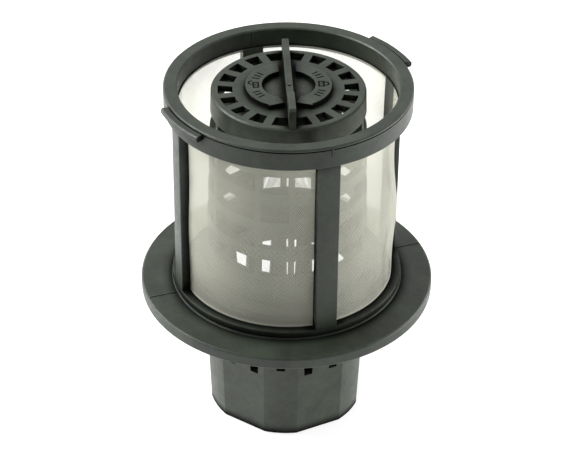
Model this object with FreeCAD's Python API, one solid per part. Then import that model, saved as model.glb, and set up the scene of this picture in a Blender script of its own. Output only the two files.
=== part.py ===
"""Twist-lock dishwasher filter: an outer mesh filter with a coarse strainer locked inside it.

Millimetres, +Z up. The cup's underside is z = 0 and the common axis is x = y = 0.
The four ribs of the frame stand on the X and Y axes.
"""
import FreeCAD
import Part
import math
import os

os.makedirs("parts", exist_ok=True)

V = FreeCAD.Vector
AXIS = V(0, 0, 1)
ORIGIN = V(0, 0, 0)

# heights, measured up from the cup's underside
cup_height = 56.3
flange_top = 59.0
collar_rise = 3.1
sleeve_visible_height = 74.5

# flange and collar of the frame
flange_radius = 57.5
flange_thickness = 4.95
flange_bevel = 0.6
collar_radius = 45.0
collar_foot = 0.5
collar_bore = 41.6
floor_thickness = 2.5

# top ring of the frame
ring_radius = 47.0
ring_bore = 41.75
ring_height = 8.45
ring_edge_round = 0.5
ring_groove_depth = 0.35
ring_groove_height = 0.5
ring_groove_drop = 0.9

# ribs and locking lugs of the frame
rib_count = 4
rib_width = 8.6
rib_outer_radius = 44.8
rib_edge_round = 0.4
lug_reach = 3.2
lug_thickness = 2.3
lug_drop = 0.6
lug_angle = 28.0
lug_middle = 15.1
lug_bevel = 0.5
lug_root = 1.0
lug_notch_width = 0.5
lug_notch_depth = 0.8

# mesh sleeve, held in the ring and in a groove of the collar
sleeve_radius = 41.5
sleeve_thickness = 0.4
sleeve_grip = 1.1
sleeve_fit = 0.05

# strainer tube
tube_rise = 83.7
tube_top_radius = 29.2
tube_foot_radius = 32.15
tube_wall = 3.0
cap_thickness = 2.5
cap_skirt_depth = 7.0
cap_skirt_inner = 19.0
cap_edge_round = 0.6

# windows in the tube
window_rows = 5
window_height = 7.5
window_pitch = 12.33
window_band = 8.3
window_bar = 2.2
near_bar_angle = 24.8
far_bar_angle = 67.5
blade_bar = 2.3

# openings in the cap
cap_slot_inner = 21.0
cap_slot_outer = 26.6
cap_bars = 18
cap_bar_width = 3.2

# blade handle
blade_thickness = 2.5
blade_height = 8.2
blade_rear_height = 5.9
blade_dip_height = 4.85
blade_step = 16.1
blade_dip_start = 3.0
blade_dip_end = 12.8
blade_end_gap = 0.4
blade_corner = 1.6

# raised arrows round the blade
arrow_inner = 10.1
arrow_outer = 16.2
arrow_height = 1.8
arrow_tip_angle = 8.8
arrow_neck_angle = 29.0
arrow_barb = 0.9
arrow_tail_gap = 3.2

# bayonet between strainer and frame
turn_at_rest = -16.8
turn_range = 30.0
seat_clearance = 0.3
bore_clearance = 0.6
shoulder_radius = 38.0
shoulder_thickness = 2.2
tab_count = 3
tab_reach = 3.0
tab_thickness = 2.7
tab_angle = 30.0
tab_play_angle = 0.8
stop_angle = 4.0
notch_clearance = 0.4

# faceted cup
cup_foot_radius = 30.95
cup_top_radius = 33.3
cup_wall = 1.9
cup_floor = 2.2
cup_sides = 6
cup_flat_angle = 35.6
cup_turn = -113.3
cup_edge_round = 0.8

# slots in the cup
slot_count = 18
slot_foot_width = 3.4
slot_head_long = 6.0
slot_head_short = 4.4
slot_foot_long = 29.6
slot_foot_short = 33.2
slot_head_room = 2.0

# spigot of the cup inside the tube
spigot_height = 5.0
spigot_wall = 1.5
spigot_fit = 0.1

# directions, play and sizes of the cutters
front = -90.0
half_turn = 180.0
overlap = 0.5
tiny = 0.01
big = 200.0

# what follows from the sizes above
collar_top = flange_top + collar_rise
flange_foot = flange_top - flange_thickness
floor_foot = collar_top - floor_thickness
ring_foot = collar_top + sleeve_visible_height
ring_top = ring_foot + ring_height
tube_foot = cup_height
cap_top = flange_top + tube_rise
sleeve_inner = sleeve_radius - sleeve_thickness
floor_bore = cup_top_radius + bore_clearance
tab_radius = floor_bore + tab_reach
sleeve_seat = sleeve_radius + sleeve_fit


def turned(profile):
    """Solid of revolution about the common axis, from (radius, height) points."""
    points = [V(r, 0, z) for r, z in profile]
    face = Part.Face(Part.makePolygon(points + points[:1]))
    return face.revolve(ORIGIN, AXIS, 360)


def ring_of(inner, outer, low, high):
    """Plain flat ring."""
    return turned([(inner, low), (outer, low), (outer, high), (inner, high)])


def spin(shape, angle):
    """Copy of a shape turned about the common axis."""
    turned_copy = shape.copy()
    turned_copy.rotate(ORIGIN, AXIS, angle)
    return turned_copy


def sector(radius, low, high, start, sweep):
    """Pie slice of a disc, from the angle start through sweep degrees."""
    slice_ = Part.makeCylinder(radius, high - low, V(0, 0, low), AXIS, sweep)
    return spin(slice_, start)


def arc_block(inner, outer, low, high, start, sweep):
    """Pie slice with a round bore."""
    slice_ = sector(outer, low, high, start, sweep)
    return slice_.cut(Part.makeCylinder(inner, high - low, V(0, 0, low)))


def bar_along_x(width, low, high, inner=0.0, outer=big):
    """Upright wall of the given width that runs out along +X."""
    return Part.makeBox(outer - inner, width, high - low, V(inner, -width / 2, low))


def cut_all(shape, tools):
    """Cut a list of tools from a shape in one step."""
    return shape.cut(Part.makeCompound(tools))


def one_solid(shape):
    """Clean a fused shape and take its solid."""
    clean = shape.removeSplitter()
    return clean.Solids[0]


def frame_base():
    """Flange, collar and floor in one profile."""
    bevel = flange_bevel
    return turned([
        (collar_bore, flange_foot),
        (flange_radius - bevel, flange_foot),
        (flange_radius, flange_foot + bevel),
        (flange_radius, flange_top - bevel),
        (flange_radius - bevel, flange_top),
        (collar_radius + collar_foot, flange_top),
        (collar_radius, flange_top + collar_foot),
        (collar_radius, collar_top),
        (floor_bore, collar_top),
        (floor_bore, floor_foot),
        (collar_bore, floor_foot),
    ])


def frame_ring():
    """Top ring with its line groove and the seat that takes the sleeve."""
    groove_top = ring_top - ring_groove_drop
    groove_foot = groove_top - ring_groove_height
    edge = ring_edge_round
    seat_top = ring_foot + sleeve_grip + sleeve_fit
    return turned([
        (sleeve_seat, ring_foot),
        (ring_radius, ring_foot),
        (ring_radius, groove_foot),
        (ring_radius - ring_groove_depth, groove_foot),
        (ring_radius - ring_groove_depth, groove_top),
        (ring_radius, groove_top),
        (ring_radius, ring_top - edge),
        (ring_radius - edge, ring_top),
        (ring_bore + edge, ring_top),
        (ring_bore, ring_top - edge),
        (ring_bore, seat_top),
        (sleeve_seat, seat_top),
    ])


def frame_rib():
    """One rib on the X axis, from the collar to the ring."""
    low = flange_top
    high = ring_foot + sleeve_grip
    rib = bar_along_x(rib_width, low, high, outer=flange_radius)
    rib = rib.common(ring_of(sleeve_seat, rib_outer_radius, low, high))
    corners = [e for e in rib.Edges if is_upright(e) and e.CenterOfMass.x > sleeve_seat + overlap]
    return rib.makeFillet(rib_edge_round, corners)


def is_upright(edge):
    """Whether an edge runs along the axis."""
    if len(edge.Vertexes) < 2:
        return False
    first = edge.Vertexes[0].Point
    last = edge.Vertexes[-1].Point
    across = math.hypot(first.x - last.x, first.y - last.y)
    return across < tiny < abs(first.z - last.z)


def frame_lug():
    """One locking lug outside the ring, bevelled along its rim and notched along its root."""
    high = ring_top - lug_drop
    low = high - lug_thickness
    rim = ring_radius + lug_reach
    root = ring_radius - lug_root
    notch_rim = ring_radius + lug_notch_width
    notch_foot = high - lug_notch_depth
    lug = turned([
        (root, low),
        (rim - lug_bevel, low),
        (rim, low + lug_bevel),
        (rim, high - lug_bevel),
        (rim - lug_bevel, high),
        (notch_rim, high),
        (notch_rim, notch_foot),
        (root, notch_foot),
    ])
    return lug.common(sector(big, low, high, lug_middle - lug_angle / 2, lug_angle))


def sleeve_groove():
    """Groove in the collar that takes the foot of the sleeve."""
    low = collar_top - sleeve_grip - sleeve_fit
    return ring_of(sleeve_inner - sleeve_fit, sleeve_seat, low, collar_top)


def tab_starts():
    """Angles where the strainer's tabs begin when it is locked."""
    step = 360.0 / tab_count
    return [turn_at_rest + step * i for i in range(tab_count)]


def tab_notch(start):
    """Way through the floor for one tab at the unlocked end of the turn."""
    sweep = tab_angle + 2 * tab_play_angle
    begin = start + turn_range - tab_play_angle
    outer = tab_radius + notch_clearance
    return arc_block(floor_bore - bore_clearance, outer, floor_foot, collar_top, begin, sweep)


def tab_stops(start):
    """The two stops under the floor that end the turn of one tab."""
    low = floor_foot - seat_clearance - tab_thickness
    size = (floor_bore, collar_bore + overlap, low, floor_foot + overlap)
    locked = start - tab_play_angle - stop_angle
    unlocked = start + turn_range + tab_angle + tab_play_angle
    return [arc_block(*size, locked, stop_angle), arc_block(*size, unlocked, stop_angle)]


def filter_frame():
    """Ring, lugs, ribs, collar, flange and bayonet floor, moulded in one."""
    pieces = [frame_ring()]
    pieces += [spin(frame_rib(), 360.0 / rib_count * i) for i in range(rib_count)]
    pieces += [frame_lug(), spin(frame_lug(), half_turn)]
    for start in tab_starts():
        pieces += tab_stops(start)
    frame = frame_base().fuse(pieces)
    return one_solid(cut_all(frame, [sleeve_groove()] + [tab_notch(a) for a in tab_starts()]))


def mesh_sleeve():
    """Fine nylon mesh, modelled as the thin tube that it forms."""
    low = collar_top - sleeve_grip
    high = ring_foot + sleeve_grip
    return ring_of(sleeve_inner, sleeve_radius, low, high)


def tube_radius(z):
    """Outside radius of the tapered tube at a height."""
    share = (z - tube_foot) / (cap_top - tube_foot)
    return tube_foot_radius + share * (tube_top_radius - tube_foot_radius)


def tube_shell():
    """Tapered tube closed by the skirted cap, with the shoulder that sits on the floor."""
    edge = cap_edge_round
    under_cap = cap_top - cap_thickness
    skirt_foot = cap_top - cap_skirt_depth
    shoulder_foot = collar_top + seat_clearance
    shoulder_top = shoulder_foot + shoulder_thickness
    return turned([
        (0, under_cap),
        (cap_skirt_inner, under_cap),
        (cap_skirt_inner, skirt_foot),
        (cap_slot_inner, skirt_foot),
        (cap_slot_inner, under_cap),
        (tube_radius(under_cap) - tube_wall, under_cap),
        (tube_foot_radius - tube_wall, tube_foot),
        (tube_foot_radius, tube_foot),
        (tube_radius(shoulder_foot), shoulder_foot),
        (shoulder_radius, shoulder_foot),
        (shoulder_radius, shoulder_top),
        (tube_radius(shoulder_top), shoulder_top),
        (tube_radius(cap_top - edge), cap_top - edge),
        (tube_top_radius - edge, cap_top),
        (0, cap_top),
    ])


def window_row(index):
    """Cutter for one row of windows, with the bars left out of it."""
    high = cap_top - window_band - index * window_pitch
    low = high - window_height
    band = ring_of(tube_top_radius - 3 * tube_wall, big / 2, low, high)
    bars = [spin(bar_along_x(blade_bar, low, high), front + turn) for turn in (0, half_turn)]
    for angle in (near_bar_angle, far_bar_angle):
        for turn in (angle, -angle, half_turn - angle, half_turn + angle):
            bars.append(spin(bar_along_x(window_bar, low, high), front + turn))
    return cut_all(band, bars)


def cap_slots():
    """Cutter for the ring of openings in the cap. The blade crosses the two wide ones."""
    low = cap_top - cap_thickness
    band = ring_of(cap_slot_inner, cap_slot_outer, low, cap_top)
    step = 360.0 / cap_bars
    angles = [front + step * i for i in range(1, cap_bars) if 2 * i != cap_bars]
    return cut_all(band, [spin(bar_along_x(cap_bar_width, low, cap_top), a) for a in angles])


def blade():
    """Upright handle plate across the cap, with its front end raised and its middle dipped."""
    low = cap_top - cap_thickness
    front_high = cap_top + blade_height
    rear_high = cap_top + blade_rear_height
    dip_high = cap_top + blade_dip_height
    end = tube_top_radius - blade_end_gap
    outline = [
        (-end, low),
        (end, low),
        (end, rear_high - blade_corner),
        (end - blade_corner, rear_high),
        (blade_dip_end, rear_high),
        (blade_dip_start, dip_high),
        (-blade_step, dip_high),
        (-blade_step, front_high),
        (-end + blade_corner / 2, front_high),
        (-end, front_high - blade_corner / 2),
    ]
    points = [V(-blade_thickness / 2, y, z) for y, z in outline]
    face = Part.Face(Part.makePolygon(points + points[:1]))
    return face.extrude(V(blade_thickness, 0, 0))


def polar(radius, angle, z):
    """Point at a radius and an angle about the common axis."""
    a = math.radians(angle)
    return V(radius * math.cos(a), radius * math.sin(a), z)


def arrow_head():
    """Arrowhead at the end of the right-hand arrow, pointing at the blade."""
    low = cap_top - cap_thickness / 2
    neck = front + arrow_neck_angle
    middle = (arrow_inner + arrow_outer) / 2
    points = [
        polar(middle, front + arrow_tip_angle, low),
        polar(arrow_outer + arrow_barb, neck, low),
        polar(arrow_inner - arrow_barb, neck, low),
    ]
    face = Part.Face(Part.makePolygon(points + points[:1]))
    return face.extrude(V(0, 0, cap_top + arrow_height - low))


def arrow():
    """One of the two raised arrows, on the +X side of the blade."""
    low = cap_top - cap_thickness / 2
    high = cap_top + arrow_height
    neck = arrow_neck_angle
    band = arc_block(arrow_inner, arrow_outer, low, high, front + neck, half_turn - neck)
    gap = Part.makeBox(2 * arrow_tail_gap, big, high - low, V(-arrow_tail_gap, 0, low))
    return band.cut(gap).fuse(arrow_head())


def strainer_tabs():
    """Bayonet tabs that lock under the floor of the frame."""
    low = floor_foot - seat_clearance - tab_thickness
    high = floor_foot - seat_clearance
    inner = tube_foot_radius - tube_wall / 2
    return [arc_block(inner, tab_radius, low, high, a, tab_angle) for a in tab_starts()]


def strainer_body():
    """Cap, blade, arrows, windowed tube, shoulder and tabs, moulded in one."""
    body = tube_shell()
    body = cut_all(body, [window_row(i) for i in range(window_rows)] + [cap_slots()])
    right = arrow()
    left = right.mirror(ORIGIN, V(1, 0, 0))
    body = body.fuse([blade(), right, left])
    body.rotate(ORIGIN, AXIS, turn_at_rest)
    return one_solid(body.fuse(strainer_tabs()))


def facet_wire(radius, z):
    """Outline of the cup: six flats with the round between them, corners at one radius."""
    step = 360.0 / cup_sides
    half = cup_flat_angle / 2
    edges = []
    for i in range(cup_sides):
        middle = cup_turn + step * (i + 0.5)
        start = polar(radius, middle - half, z)
        end = polar(radius, middle + half, z)
        crown = polar(radius, middle + step / 2, z)
        after = polar(radius, middle + step - half, z)
        edges.append(Part.LineSegment(start, end).toShape())
        edges.append(Part.Arc(end, crown, after).toShape())
    return Part.Wire(edges)


def cup_radius(z):
    """Corner radius of the tapered cup at a height."""
    return cup_foot_radius + (cup_top_radius - cup_foot_radius) * z / cup_height


def faceted(low, high, inset):
    """Tapered body with flats, drawn in by an inset."""
    foot = facet_wire(cup_radius(low) - inset, low)
    head = facet_wire(cup_radius(high) - inset, high)
    return Part.makeLoft([foot, head], True, True)


def cup_outside():
    """Outside of the cup with its foot rounded."""
    body = faceted(0, cup_height, 0)
    foot = [e for e in body.Edges if e.BoundBox.ZMax < tiny]
    return body.makeFillet(cup_edge_round, foot)


def cup_slot(index):
    """Cutter for one tall slot, narrower towards its foot. The ones in the rounds are short."""
    is_long = index % (slot_count // cup_sides) != 0
    low = slot_foot_long if is_long else slot_foot_short
    head_width = slot_head_long if is_long else slot_head_short
    high = cup_height - slot_head_room
    inner = cup_foot_radius / 2
    points = [
        V(inner, -slot_foot_width / 2, low),
        V(inner, slot_foot_width / 2, low),
        V(inner, head_width / 2, high),
        V(inner, -head_width / 2, high),
    ]
    face = Part.Face(Part.makePolygon(points + points[:1]))
    cutter = face.extrude(V(cup_top_radius, 0, 0))
    return spin(cutter, cup_turn + 360.0 / slot_count * index)


def spigot():
    """Collar of the cup that plugs into the foot of the tube."""
    low = cup_height - slot_head_room
    high = cup_height + spigot_height
    foot = tube_foot_radius - tube_wall - spigot_fit
    head = tube_radius(high) - tube_wall - spigot_fit
    root = (cup_top_radius - cup_wall / 2) * math.cos(math.radians(cup_flat_angle / 2))
    return turned([
        (foot - spigot_wall, low),
        (root, low),
        (root, cup_height),
        (foot, cup_height),
        (head, high),
        (head - spigot_wall, high),
    ])


def strainer_cup():
    """Faceted cup with its slots and spigot, moulded in one."""
    cup = cup_outside().cut(faceted(cup_floor, cup_height, cup_wall))
    cup = cup.fuse(spigot())
    return one_solid(cut_all(cup, [cup_slot(i) for i in range(slot_count)]))


NODES = {
    "filter_frame": filter_frame,
    "mesh_sleeve": mesh_sleeve,
    "strainer_body": strainer_body,
    "strainer_cup": strainer_cup,
}

for name, make in NODES.items():
    make().exportStep("parts/%s.step" % name)
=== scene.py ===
"""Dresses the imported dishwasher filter: moulded plastic, a translucent woven sleeve and fine marks."""
import math

import bmesh
import bpy
from mathutils import Matrix, Vector


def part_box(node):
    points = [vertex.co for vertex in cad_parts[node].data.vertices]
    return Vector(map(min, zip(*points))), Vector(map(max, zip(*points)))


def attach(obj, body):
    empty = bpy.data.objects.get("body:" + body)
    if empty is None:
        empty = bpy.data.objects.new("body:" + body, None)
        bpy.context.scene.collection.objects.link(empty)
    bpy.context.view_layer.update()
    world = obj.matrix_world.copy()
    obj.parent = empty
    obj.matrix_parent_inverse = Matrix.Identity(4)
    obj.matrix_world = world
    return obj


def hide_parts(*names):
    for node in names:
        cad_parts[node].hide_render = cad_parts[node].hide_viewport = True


MM = 0.001

# the photograph's view: a long lens, looking down at the part
IMAGE_WIDTH = 575
FOCAL_PIXELS = 2087.7
SENSOR_MM = 36.0
CAMERA_AZIMUTH = -110.0
CAMERA_REACH = 671.7 * MM
CAMERA_HEIGHT = 545.6 * MM
CAMERA_PITCH = -34.700
CAMERA_YAW = 0.013
CAMERA_ROLL = 0.628
NEAR_CLIP = 10 * MM

# surroundings as light: their strength before and behind the part, and where one turns into the other
WORLD_FRONT = 0.26
WORLD_BACK = 0.84
WORLD_DIM = -1.0
WORLD_BRIGHT = 0.4

# floor: its tone, its glow where it is seen, and the fade of that glow in gloss, with places in metres
FLOOR_SIZE = 6
FLOOR_TONE = 0.55
FLOOR_GLOW = 0.75
FLOOR_FRONT = 0.22
FLOOR_DIM = -0.30
FLOOR_BRIGHT = -0.06

# soft lamps: name, place as (right, back, up) and size in metres, and watts
LAMPS = (
    ("key", (-0.80, 0.25, 0.95), (0.6, 0.6), 16.5),
    ("low_left", (-0.90, 0.22, 0.16), (0.7, 0.25), 3.4),
    ("low_right", (0.90, 0.10, 0.14), (0.7, 0.25), 9.0),
)
LAMP_TARGET = (0, 0, 80 * MM)

# colours in sRGB, and the black of the painted shade in inner corners as linear values
FRAME_GREY = (44, 51, 41)
CUP_GREY = (53, 60, 49)
# painted highlight: the grey that outer edges are paled towards
EDGE_HIGHLIGHT_GREY = (96, 102, 92)
NYLON_WHITE = (248, 248, 235)
# painted shade: the near black of the arrow marks, for engraved strokes
MARK_SHADE_BLACK = (12, 14, 11)
CORNER_SHADE_BLACK = (0.003, 0.003, 0.003, 1)
WHITE = (1, 1, 1, 1)

# moulded plastic: blotches, flow marks and grain, with scales per metre
PLASTIC_IOR = 1.49
PLASTIC_ROUGHNESS = 0.42
ROUGHNESS_SPREAD = 0.14
MOTTLE_SCALE = 70.0
MOTTLE_FROM = 0.35
MOTTLE_TO = 0.65
MOTTLE_DARK = 0.6
MOTTLE_PALE = 1.4
FLOW_SCALE = 420.0
FLOW_STRENGTH = 0.8
FLOW_DEPTH = 0.08 * MM
GRAIN_SCALE = 2600.0
GRAIN_STRENGTH = 0.35
GRAIN_DEPTH = 0.03 * MM

# its outer edges are rounded in the shading and paled as a painted highlight
EDGE_RADIUS = 0.35 * MM
EDGE_SAMPLES = 6
EDGE_GAIN = 2.6
EDGE_SHARE = 0.7

# painted shade in its inner corners: how far a corner reaches, and how dark the painted shade gets
CORNER_REACH = 5.0 * MM
CORNER_SAMPLES = 8
CORNER_FULL = 0.64
CORNER_NONE = 0.96
CORNER_SHADE_DARK = 0.92

# turn of the blade in the frame, and of its arrows with it
BLADE_TURN = -16.8

# woven sleeve: layers of one thin weave, so that it closes up where it is seen slantwise
SLEEVE_AROUND = 240
SLEEVE_UP = 80
SLEEVE_LAYERS = 3
LAYER_STEP = 0.07 * MM
SLEEVE_INSET = 0.15 * MM

# its shape in the panels between the ribs, with heights as shares of its own
PANELS = 4
PANEL_FULLNESS = 0.8
WAIST_FROM = 0.45
WAIST_DEPTH = 0.9 * MM
BULGE_HEIGHT = 0.42
BULGE_SHIFT = 0.03
BULGE_STEP = 2.1
BULGE_SPREAD = 0.17
BULGE_DEPTH = 1.3 * MM
RIPPLE_DEPTH = 0.22 * MM
RIPPLES_AROUND = 9
RIPPLE_LEAN = 7.5

# its threads, their uneven width, and the twill that is seen from further off
THREAD_PITCH = 0.48 * MM
THREAD_SHARE = 0.21
THREAD_SOFT = 0.05
THREAD_COVER = 0.95
DRIFT_SCALE = 45.0
DRIFT_FROM = 0.3
DRIFT_TO = 0.7
DRIFT = 0.03
TWILL_PITCH = 0.68 * MM
TWILL_DEPTH = 0.36
TWILL_LOW = -0.6
TWILL_STRENGTH = 0.4
TWILL_BUMP = 0.05 * MM
SCATTER_SHARE = 0.4
NYLON_ROUGHNESS = 0.45
NYLON_IOR = 1.5

# it is soaked by the plastic along the ribs, and fused to a thin band above the collar
RIB_BAND = 4.2 * MM
FUSED_FROM = 1.6 * MM
FUSED_TO = 2.2 * MM
FUSED_COVER = 0.9

# painted shade: it is a little greyer towards its foot
FOOT_SHADE_FROM = 4 * MM
FOOT_SHADE_TO = 20 * MM
FOOT_SHADE_TONE = 0.9

# raised marks on the arrows, coloured near black as a painted shade of engraved strokes
ARROW_TOP = 144.5 * MM
MARK_RADIUS = 13.15 * MM
MARK_RISE = 0.04 * MM
MARK_ROOT = 0.15 * MM
MARK_STROKE = 0.55 * MM
MARK_ROUGHNESS = 0.9
MARK_IOR = 1.15
LOCK_WIDTH = 3.4 * MM
LOCK_HEIGHT = 2.1 * MM
SHACKLE_RADIUS = 1.1 * MM
SHACKLE_LIFT = 0.4 * SHACKLE_RADIUS
OPEN_LIFT = 0.2 * SHACKLE_RADIUS
OPEN_SHIFT = 1.7 * MM
TICK_LENGTH = 2.8 * MM
TICK_ANGLES = (-38, -30, -22, 22, 30, 38)
ARC_STEPS = 16

# parting lines on flange and ring
FLANGE_TOP = 59.0 * MM
LINE_START = 45.6 * MM
LINE_END = 56.7 * MM
LINE_WIDTH = 0.45 * MM
LINE_RISE = 0.16 * MM
RING_OUTER = 47.0 * MM
RING_INNER = 41.75 * MM
RING_FOOT = 136.9 * MM
RING_TOP = 144.4 * MM
SEAM_FOOT = 140.8 * MM

# gate pip on the blade
BLADE_DIP_TOP = 147.55 * MM
PIP_RADIUS = 0.55 * MM
PIP_SWEEP = 337.5
PIP_RISE = 0.35 * MM
PIP_PLACE = 5.5 * MM


def linear(rgb):
    """sRGB 0-255 to a linear colour with alpha 1."""
    out = []
    for value in rgb:
        c = value / 255
        out.append(c / 12.92 if c <= 0.04045 else ((c + 0.055) / 1.055) ** 2.4)
    return (*out, 1.0)


class Nodes:
    """Short way to build the node tree of a material or a world."""

    def __init__(self, owner, output="ShaderNodeOutputMaterial"):
        self.owner = owner
        self.owner.use_nodes = True
        self.output = output
        self.tree = owner.node_tree
        self.tree.nodes.clear()

    def add(self, kind, inputs=None, **settings):
        node = self.tree.nodes.new(kind)
        for key, value in settings.items():
            setattr(node, key, value)
        for key, value in (inputs or {}).items():
            self.put(node.inputs[key], value)
        return node

    def put(self, socket, value):
        if isinstance(value, bpy.types.NodeSocket):
            self.tree.links.new(value, socket)
        else:
            socket.default_value = value

    def math(self, operation, a, b=0.0, clamp=False):
        node = self.add("ShaderNodeMath", operation=operation, use_clamp=clamp)
        self.put(node.inputs[0], a)
        self.put(node.inputs[1], b)
        return node.outputs[0]

    def dot(self, a, b):
        node = self.add("ShaderNodeVectorMath", {0: a, 1: b}, operation="DOT_PRODUCT")
        return node.outputs["Value"]

    def scaled(self, rgb, factor):
        """The sRGB colour times a factor."""
        node = self.add("ShaderNodeVectorMath", {0: linear(rgb)[:3], "Scale": factor}, operation="SCALE")
        return node.outputs[0]

    def ranged(self, value, start, end, low=0.0, high=1.0):
        """From low to high, as the value goes from start to end."""
        node = self.add("ShaderNodeMapRange", {"Value": value, 1: start, 2: end, 3: low, 4: high})
        return node.outputs[0]

    def noise(self, place, scale, detail, roughness=0.5):
        inputs = {"Vector": place, "Scale": scale, "Detail": detail, "Roughness": roughness}
        return self.add("ShaderNodeTexNoise", inputs).outputs["Fac"]

    def mixed(self, share, first, second):
        """Two shaders, with the share of the second."""
        inputs = {0: share, 1: first.outputs[0], 2: second.outputs[0]}
        return self.add("ShaderNodeMixShader", inputs)

    def finish(self, shader):
        out = self.add(self.output)
        self.tree.links.new(shader.outputs[0], out.inputs["Surface"])
        return self.owner


def material_nodes(name):
    """Empty node tree of a new material."""
    return Nodes(bpy.data.materials.new(name))


def plastic(name, rgb):
    """Moulded polypropylene: fine grain, faint mottling, outer edges paled as a painted highlight and inner
    corners darkened as painted shade.
    """
    n = material_nodes(name)
    place = n.add("ShaderNodeTexCoord").outputs["Object"]
    mottle = n.noise(place, MOTTLE_SCALE, 6.0, 0.75)
    grain = n.noise(place, GRAIN_SCALE, 2.0)
    flow = n.noise(place, FLOW_SCALE, 4.0)
    rounded = n.add("ShaderNodeBevel", {"Radius": EDGE_RADIUS}, samples=EDGE_SAMPLES).outputs["Normal"]
    true = n.add("ShaderNodeNewGeometry").outputs["True Normal"]
    around = n.add("ShaderNodeAmbientOcclusion", {"Distance": CORNER_REACH}, samples=CORNER_SAMPLES)
    free = around.outputs["AO"]
    edge = n.math("MULTIPLY", n.math("SUBTRACT", 1.0, n.dot(rounded, true)), EDGE_GAIN, clamp=True)
    # painted highlight: outer edges, away from inner corners, are paled towards a light grey
    edge_highlight = n.math("MULTIPLY", edge, n.ranged(free, CORNER_FULL, CORNER_NONE))
    blotches = n.ranged(mottle, MOTTLE_FROM, MOTTLE_TO, MOTTLE_DARK, MOTTLE_PALE)
    edge_highlighted = n.add("ShaderNodeMix", data_type="RGBA")
    n.put(edge_highlighted.inputs["Factor"], n.math("MULTIPLY", edge_highlight, EDGE_SHARE))
    n.put(edge_highlighted.inputs["A"], n.scaled(rgb, blotches))
    n.put(edge_highlighted.inputs["B"], linear(EDGE_HIGHLIGHT_GREY))
    waves = n.add("ShaderNodeBump", {
        "Height": flow,
        "Strength": FLOW_STRENGTH,
        "Distance": FLOW_DEPTH,
        "Normal": rounded,
    })
    pores = n.add("ShaderNodeBump", {
        "Height": grain,
        "Strength": GRAIN_STRENGTH,
        "Distance": GRAIN_DEPTH,
        "Normal": waves.outputs[0],
    })
    smooth = PLASTIC_ROUGHNESS - ROUGHNESS_SPREAD
    rough = PLASTIC_ROUGHNESS + ROUGHNESS_SPREAD
    surface = n.add("ShaderNodeBsdfPrincipled", {
        "Base Color": edge_highlighted.outputs["Result"],
        "Roughness": n.ranged(flow, 0.0, 1.0, smooth, rough),
        "Normal": pores.outputs[0],
        "IOR": PLASTIC_IOR,
    })
    # painted shade: where other surfaces are near, the plastic is mixed towards a black diffuse
    corner = n.ranged(free, CORNER_FULL, CORNER_NONE, CORNER_SHADE_DARK, 0.0)
    shade = n.add("ShaderNodeBsdfDiffuse", {"Color": CORNER_SHADE_BLACK})
    return n.finish(n.mixed(corner, surface, shade))


def matt(name, rgb):
    """Dull near black, a painted shade of engraved strokes that stays dark in the light from above."""
    n = material_nodes(name)
    return n.finish(n.add("ShaderNodeBsdfPrincipled", {
        "Base Color": linear(rgb),
        "Roughness": MARK_ROUGHNESS,
        "IOR": MARK_IOR,
    }))


def across_rib(n, run, around):
    """1 where the sleeve crosses a rib, counted along its length, and 0 elsewhere."""
    panel = around / PANELS
    nearest = n.math("FRACT", n.math("ADD", n.math("DIVIDE", run, panel), 0.5))
    from_rib = n.math("ABSOLUTE", n.math("SUBTRACT", nearest, 0.5))
    return n.math("LESS_THAN", from_rib, RIB_BAND / panel)


def on_thread(n, flat, axes):
    """1 on the threads of either direction, whose width drifts a little, and 0 in the gaps."""
    cloud = n.noise(flat, DRIFT_SCALE, 2.0)
    drift = n.ranged(cloud, DRIFT_FROM, DRIFT_TO, -DRIFT, DRIFT)
    edge = 1 - THREAD_SHARE
    threads = []
    for axis in axes:
        place = n.math("FRACT", n.math("DIVIDE", axis, THREAD_PITCH))
        off_middle = n.math("MULTIPLY", n.math("ABSOLUTE", n.math("SUBTRACT", place, 0.5)), 2.0)
        wide = n.math("ADD", off_middle, drift)
        threads.append(n.ranged(wide, edge - THREAD_SOFT, edge + THREAD_SOFT))
    return n.math("MAXIMUM", threads[0], threads[1])


def twill_height(n, axes):
    """Waves across both directions, whichever is higher."""
    turn = 2 * math.pi / TWILL_PITCH
    warp, weft = (n.math("SINE", n.math("MULTIPLY", axis, turn)) for axis in axes)
    return n.math("MAXIMUM", warp, weft)


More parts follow.
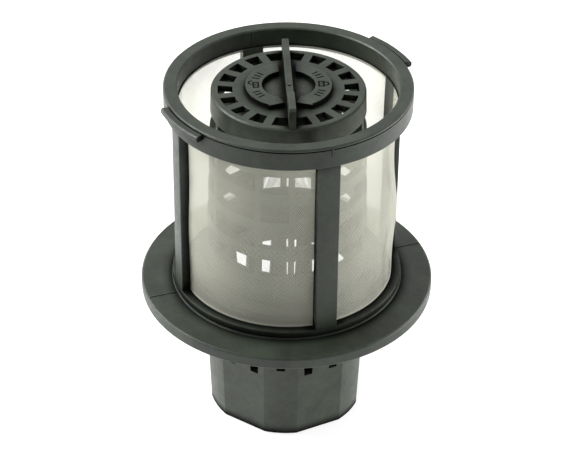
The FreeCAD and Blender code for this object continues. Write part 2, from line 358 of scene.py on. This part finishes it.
def woven(name, around):
    """Fine nylon weave on the bias: pale threads that scatter light, open gaps, and ribs showing through."""
    n = material_nodes(name)
    flat = n.add("ShaderNodeUVMap", uv_map="cloth").outputs[0]
    run, rise, _ = n.add("ShaderNodeSeparateXYZ", {0: flat}).outputs
    bias = n.add("ShaderNodeMapping", {"Vector": flat, "Rotation": (0, 0, math.radians(45))})
    axes = n.add("ShaderNodeSeparateXYZ", {0: bias.outputs[0]}).outputs[:2]
    fused = n.ranged(rise, FUSED_FROM, FUSED_TO, FUSED_COVER, 0.0)
    threads = n.math("MULTIPLY", on_thread(n, flat, axes), THREAD_COVER)
    cover = n.math("MAXIMUM", threads, fused)
    twill = twill_height(n, axes)
    shade = n.ranged(twill, TWILL_LOW, 1.0, 1 - TWILL_DEPTH, 1.0)
    # painted shade: the weave's tone darkens towards the sleeve's foot
    foot_shade = n.ranged(rise, FOOT_SHADE_FROM, FOOT_SHADE_TO, FOOT_SHADE_TONE, 1.0)
    tone = n.scaled(NYLON_WHITE, n.math("MULTIPLY", shade, foot_shade))
    bump = n.add("ShaderNodeBump", {
        "Height": twill,
        "Strength": TWILL_STRENGTH,
        "Distance": TWILL_BUMP,
    }).outputs[0]
    scatter = n.add("ShaderNodeBsdfTranslucent", {"Color": tone, "Normal": bump})
    surface = n.add("ShaderNodeBsdfPrincipled", {
        "Base Color": tone,
        "Roughness": NYLON_ROUGHNESS,
        "Normal": bump,
        "IOR": NYLON_IOR,
    })
    soaked = n.add("ShaderNodeBsdfPrincipled", {
        "Base Color": linear(FRAME_GREY),
        "Roughness": PLASTIC_ROUGHNESS,
        "IOR": PLASTIC_IOR,
    })
    cloth = n.mixed(SCATTER_SHARE, surface, scatter)
    open_weave = n.mixed(cover, n.add("ShaderNodeBsdfTransparent"), cloth)
    return n.finish(n.mixed(across_rib(n, run, around), open_weave, soaked))


def camera_like_photo():
    """The camera that the photograph was taken with, as fitted to its ellipses."""
    pitch, yaw, roll = (math.radians(a) for a in (CAMERA_PITCH, CAMERA_YAW, CAMERA_ROLL))
    forward = Vector((math.sin(yaw) * math.cos(pitch), math.cos(yaw) * math.cos(pitch), math.sin(pitch)))
    right = forward.cross(Vector((0, 0, 1))).normalized()
    up = right.cross(forward)
    right_rolled = right * math.cos(roll) + up * math.sin(roll)
    up_rolled = up * math.cos(roll) - right * math.sin(roll)
    axes = Matrix((right_rolled, up_rolled, -forward)).transposed().to_4x4()
    turn = Matrix.Rotation(math.radians(CAMERA_AZIMUTH + 90), 4, "Z")
    place = Matrix.Translation(Vector((0, -CAMERA_REACH, CAMERA_HEIGHT)))
    data = bpy.data.cameras.new("photo_camera")
    data.lens = FOCAL_PIXELS / IMAGE_WIDTH * SENSOR_MM
    data.sensor_width = SENSOR_MM
    data.clip_start = NEAR_CLIP
    camera = bpy.data.objects.new("photo_camera", data)
    camera.matrix_world = turn @ place @ axes
    bpy.context.collection.objects.link(camera)
    bpy.context.scene.camera = camera


def seen_from_camera(right, back, up):
    """Point given as the camera sees it: to the right, away from it and up, from the axis, in metres."""
    turn = Matrix.Rotation(math.radians(CAMERA_AZIMUTH + 90), 3, "Z")
    return turn @ Vector((right, back, up))


def soft_box(name, place, size, watts):
    """Large soft lamp that points at the middle of the part."""
    data = bpy.data.lights.new(name, "AREA")
    data.shape = "RECTANGLE"
    data.size, data.size_y = size
    data.energy = watts
    lamp = bpy.data.objects.new(name, data)
    lamp.location = place
    lamp.rotation_euler = (Vector(LAMP_TARGET) - place).to_track_quat("-Z", "Y").to_euler()
    bpy.context.collection.objects.link(lamp)


def pale_floor():
    """Floor that is lit plainly, and glows white to the camera and in gloss, there fading to the front."""
    n = material_nodes("pale_floor")
    lit = n.add("ShaderNodeBsdfDiffuse", {"Color": (FLOOR_TONE, FLOOR_TONE, FLOOR_TONE, 1)})
    path = n.add("ShaderNodeLightPath").outputs
    place = n.add("ShaderNodeNewGeometry").outputs["Position"]
    back = n.dot(place, seen_from_camera(0, 1, 0))
    gloss = n.math("MULTIPLY", path["Is Glossy Ray"], n.ranged(back, FLOOR_DIM, FLOOR_BRIGHT, FLOOR_FRONT))
    seen = n.math("MAXIMUM", path["Is Camera Ray"], path["Is Transmission Ray"])
    strength = n.math("MULTIPLY", n.math("MAXIMUM", seen, gloss), FLOOR_GLOW)
    glow = n.add("ShaderNodeEmission", {"Color": WHITE, "Strength": strength})
    return n.finish(n.add("ShaderNodeAddShader", {0: lit.outputs[0], 1: glow.outputs[0]}))


def white_world():
    """White surroundings for the eye. As light they are bright behind and beside the part, dim in front."""
    n = Nodes(bpy.data.worlds.new("white_studio"), "ShaderNodeOutputWorld")
    path = n.add("ShaderNodeLightPath").outputs
    seen = n.math("MAXIMUM", path["Is Camera Ray"], path["Is Transmission Ray"], clamp=True)
    toward = n.add("ShaderNodeTexCoord").outputs["Generated"]
    back = n.dot(toward, seen_from_camera(0, 1, 0))
    as_light = n.ranged(back, WORLD_DIM, WORLD_BRIGHT, WORLD_FRONT, WORLD_BACK)
    strength = n.ranged(seen, 0.0, 1.0, as_light, 1.0)
    return n.finish(n.add("ShaderNodeBackground", {"Color": WHITE, "Strength": strength}))


def studio():
    """White surroundings, a pale floor that keeps the shadow, and three soft lamps."""
    bpy.context.scene.view_settings.view_transform = "Standard"
    bpy.context.scene.world = white_world()
    bpy.ops.mesh.primitive_plane_add(size=FLOOR_SIZE)
    floor = bpy.context.object
    floor.name = "floor"
    floor.data.materials.append(pale_floor())
    for name, place, size, watts in LAMPS:
        soft_box(name, seen_from_camera(*place), size, watts)


def mesh_of(name, points, faces):
    """New mesh object."""
    data = bpy.data.meshes.new(name)
    data.from_pydata(points, [], faces)
    data.update()
    made = bpy.data.objects.new(name, data)
    bpy.context.collection.objects.link(made)
    return made


def sleeve_radius(base, angle, height):
    """Radius of the sleeve: held at the ribs, between them it is drawn in high up and bellies out lower."""
    panel = angle / (2 * math.pi / PANELS)
    number = int(panel) % PANELS
    between = math.sin((panel % 1.0) * math.pi) ** PANEL_FULLNESS
    middle = BULGE_HEIGHT + BULGE_SHIFT * math.sin(BULGE_STEP * number)
    belly = BULGE_DEPTH * math.exp(-(((height - middle) / BULGE_SPREAD) ** 2))
    above = min(1.0, max(0.0, (height - WAIST_FROM) / (1 - WAIST_FROM)))
    waist = WAIST_DEPTH * math.sin(math.pi * above)
    wave = math.sin(RIPPLES_AROUND * angle + RIPPLE_LEAN * height + number)
    ripple = RIPPLE_DEPTH * wave * math.sin(math.pi * height)
    return base + between * (belly - waist + ripple)


def sleeve_points(base, low, tall):
    """Points of the sleeve's grid: layer by layer inwards, and ring by ring upwards."""
    points = []
    for layer in range(SLEEVE_LAYERS):
        for ring in range(SLEEVE_UP + 1):
            share = ring / SLEEVE_UP
            for step in range(SLEEVE_AROUND):
                angle = 2 * math.pi * step / SLEEVE_AROUND
                r = sleeve_radius(base, angle, share) - layer * LAYER_STEP
                points.append((r * math.cos(angle), r * math.sin(angle), low + share * tall))
    return points


def wall_cells():
    """Corners of each face of the layers, as (layer, step, ring). The inner layers face inwards."""
    cells = []
    for layer in range(SLEEVE_LAYERS):
        for ring in range(SLEEVE_UP):
            for step in range(SLEEVE_AROUND):
                spots = ((step, ring), (step + 1, ring), (step + 1, ring + 1), (step, ring + 1))
                cell = [(layer, s, r) for s, r in spots]
                cells.append(cell[::-1] if layer else cell)
    return cells


def rim_cells():
    """Corners of each face that joins one layer to the next, at the foot and at the head."""
    cells = []
    for layer in range(SLEEVE_LAYERS - 1):
        for ring in (0, SLEEVE_UP):
            for step in range(SLEEVE_AROUND):
                spots = ((layer, step), (layer + 1, step), (layer + 1, step + 1), (layer, step + 1))
                cell = [(k, s, ring) for k, s in spots]
                cells.append(cell[::-1] if ring else cell)
    return cells


def grid_number(layer, step, ring):
    """Number of a point in the sleeve's grid, whose last step is its first."""
    return (layer * (SLEEVE_UP + 1) + ring) * SLEEVE_AROUND + step % SLEEVE_AROUND


def woven_sleeve():
    """The sleeve as one thin weave, wrapped into a tube and shaped between the ribs."""
    low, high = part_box("mesh_sleeve")
    base = high[0] - SLEEVE_INSET
    tall = high[2] - low[2]
    around = 2 * math.pi * base
    cells = wall_cells() + rim_cells()
    faces = [tuple(grid_number(*corner) for corner in cell) for cell in cells]
    sleeve = mesh_of("woven_sleeve", sleeve_points(base, low[2], tall), faces)
    sleeve.data.shade_smooth()
    cloth = sleeve.data.uv_layers.new(name="cloth")
    for face, cell in zip(sleeve.data.polygons, cells):
        for loop, (_, step, ring) in zip(face.loop_indices, cell):
            cloth.data[loop].uv = (step / SLEEVE_AROUND * around, ring / SLEEVE_UP * tall)
    sleeve.data.materials.append(woven("nylon_weave", around))
    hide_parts("mesh_sleeve")
    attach(sleeve, "outer_filter")


def arc_points(radius, start, end, centre=(0.0, 0.0)):
    """Points along an arc, from one angle to another in degrees."""
    out = []
    for i in range(ARC_STEPS + 1):
        a = math.radians(start + (end - start) * i / ARC_STEPS)
        out.append((centre[0] + radius * math.cos(a), centre[1] + radius * math.sin(a)))
    return out


def bar_outline(length, width, x=0.0, y=0.0):
    """Plain bar along y about a middle."""
    corners = ((-1, -1), (1, -1), (1, 1), (-1, 1))
    return [(x + i * width / 2, y + j * length / 2) for i, j in corners]


def padlock_outlines(shift):
    """Strokes of a padlock, with the shackle swung aside by the shift when it is open."""
    x, y = LOCK_WIDTH / 2, LOCK_HEIGHT / 2
    outer = SHACKLE_RADIUS + MARK_STROKE / 2
    inner = SHACKLE_RADIUS - MARK_STROKE / 2
    centre = (shift, y + SHACKLE_LIFT)
    far_foot = y + OPEN_LIFT if shift else y
    bow = [(shift + outer, y)] + arc_points(outer, 0, 180, centre)
    bow += [(shift - outer, far_foot), (shift - inner, far_foot)]
    bow += arc_points(inner, 180, 0, centre) + [(shift + inner, y)]
    across = LOCK_WIDTH + MARK_STROKE
    return [
        bow,
        bar_outline(MARK_STROKE, across, 0, y - MARK_STROKE / 2),
        bar_outline(MARK_STROKE, across, 0, -y),
        bar_outline(LOCK_HEIGHT, MARK_STROKE, -x, -MARK_STROKE / 2),
        bar_outline(LOCK_HEIGHT, MARK_STROKE, x, -MARK_STROKE / 2),
        bar_outline(LOCK_HEIGHT / 3, MARK_STROKE),
    ]


def place_outline(outline, radius, angle):
    """Flat outline moved out to a radius, with its y axis pointing away from the centre."""
    a = math.radians(angle)
    out_x, out_y = math.cos(a), math.sin(a)
    return [((radius + y) * out_x + x * out_y, (radius + y) * out_y - x * out_x) for x, y in outline]


def prisms(name, parts):
    """One object of upright prisms, from (outline, foot, top) for each."""
    points = []
    faces = []
    for outline, low, high in parts:
        first = len(points)
        count = len(outline)
        for z in (low, high):
            points += [(x, y, z) for x, y in outline]
        faces.append(tuple(first + count + i for i in range(count)))
        faces.append(tuple(first + i for i in reversed(range(count))))
        for i in range(count):
            j = (i + 1) % count
            faces.append((first + i, first + j, first + count + j, first + count + i))
    made = mesh_of(name, points, faces)
    repair = bmesh.new()
    repair.from_mesh(made.data)
    bmesh.ops.recalc_face_normals(repair, faces=repair.faces)
    repair.to_mesh(made.data)
    repair.free()
    return made


def arrow_marks():
    """Padlocks and ticks on the arrows: open on the left one, closed on the right one."""
    front = -90 + BLADE_TURN
    low = ARROW_TOP - MARK_ROOT
    high = ARROW_TOP + MARK_RISE
    tick = bar_outline(TICK_LENGTH, MARK_STROKE)
    parts = []
    for side, shift in ((-90, OPEN_SHIFT), (90, 0.0)):
        for outline in padlock_outlines(shift):
            centred = [(x, y - LOCK_HEIGHT / 3) for x, y in outline]
            parts.append((place_outline(centred, MARK_RADIUS, front + side), low, high))
        for turn in TICK_ANGLES:
            parts.append((place_outline(tick, MARK_RADIUS, front + side + turn), low, high))
    marks = prisms("arrow_marks", parts)
    # painted shade: the marks are coloured near black for the shade in engraved strokes
    marks.data.materials.append(matt("mark_painted_shade", MARK_SHADE_BLACK))
    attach(marks, "strainer")


def parting_lines(look):
    """Fine raised lines on the flange and on both walls of the ring."""
    parts = []
    for angle in (0, 180):
        line = bar_outline(LINE_END - LINE_START, LINE_WIDTH, 0, (LINE_START + LINE_END) / 2)
        parts.append((place_outline(line, 0.0, angle), FLANGE_TOP - LINE_WIDTH, FLANGE_TOP + LINE_RISE))
    for angle in (-90, 90):
        for radius, foot in ((RING_OUTER, SEAM_FOOT), (RING_INNER, RING_FOOT)):
            line = bar_outline(2 * LINE_RISE, LINE_WIDTH, 0, radius)
            parts.append((place_outline(line, 0.0, angle), foot, RING_TOP))
    lines = prisms("parting_lines", parts)
    lines.data.materials.append(look)
    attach(lines, "outer_filter")


def gate_pip(look):
    """Small round pip on the blade, where the moulding's gate was."""
    outline = place_outline(arc_points(PIP_RADIUS, 0, PIP_SWEEP), PIP_PLACE, -90 + BLADE_TURN)
    gate = prisms("gate_pip", [(outline, BLADE_DIP_TOP - PIP_RISE, BLADE_DIP_TOP + PIP_RISE)])
    gate.data.materials.append(look)
    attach(gate, "strainer")


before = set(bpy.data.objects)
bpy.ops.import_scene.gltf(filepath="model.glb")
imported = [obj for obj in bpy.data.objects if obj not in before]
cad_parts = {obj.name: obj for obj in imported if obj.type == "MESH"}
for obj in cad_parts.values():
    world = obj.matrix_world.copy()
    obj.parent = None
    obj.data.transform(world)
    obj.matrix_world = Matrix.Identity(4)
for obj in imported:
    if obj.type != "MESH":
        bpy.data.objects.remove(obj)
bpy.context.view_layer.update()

camera_like_photo()
studio()

looks = {
    "filter_frame": plastic("frame_plastic", FRAME_GREY),
    "strainer_body": plastic("strainer_plastic", FRAME_GREY),
    "strainer_cup": plastic("cup_plastic", CUP_GREY),
}
for node, look in looks.items():
    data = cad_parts[node].data
    data.materials.clear()
    data.materials.append(look)

woven_sleeve()
arrow_marks()
parting_lines(looks["filter_frame"])
gate_pip(looks["filter_frame"])
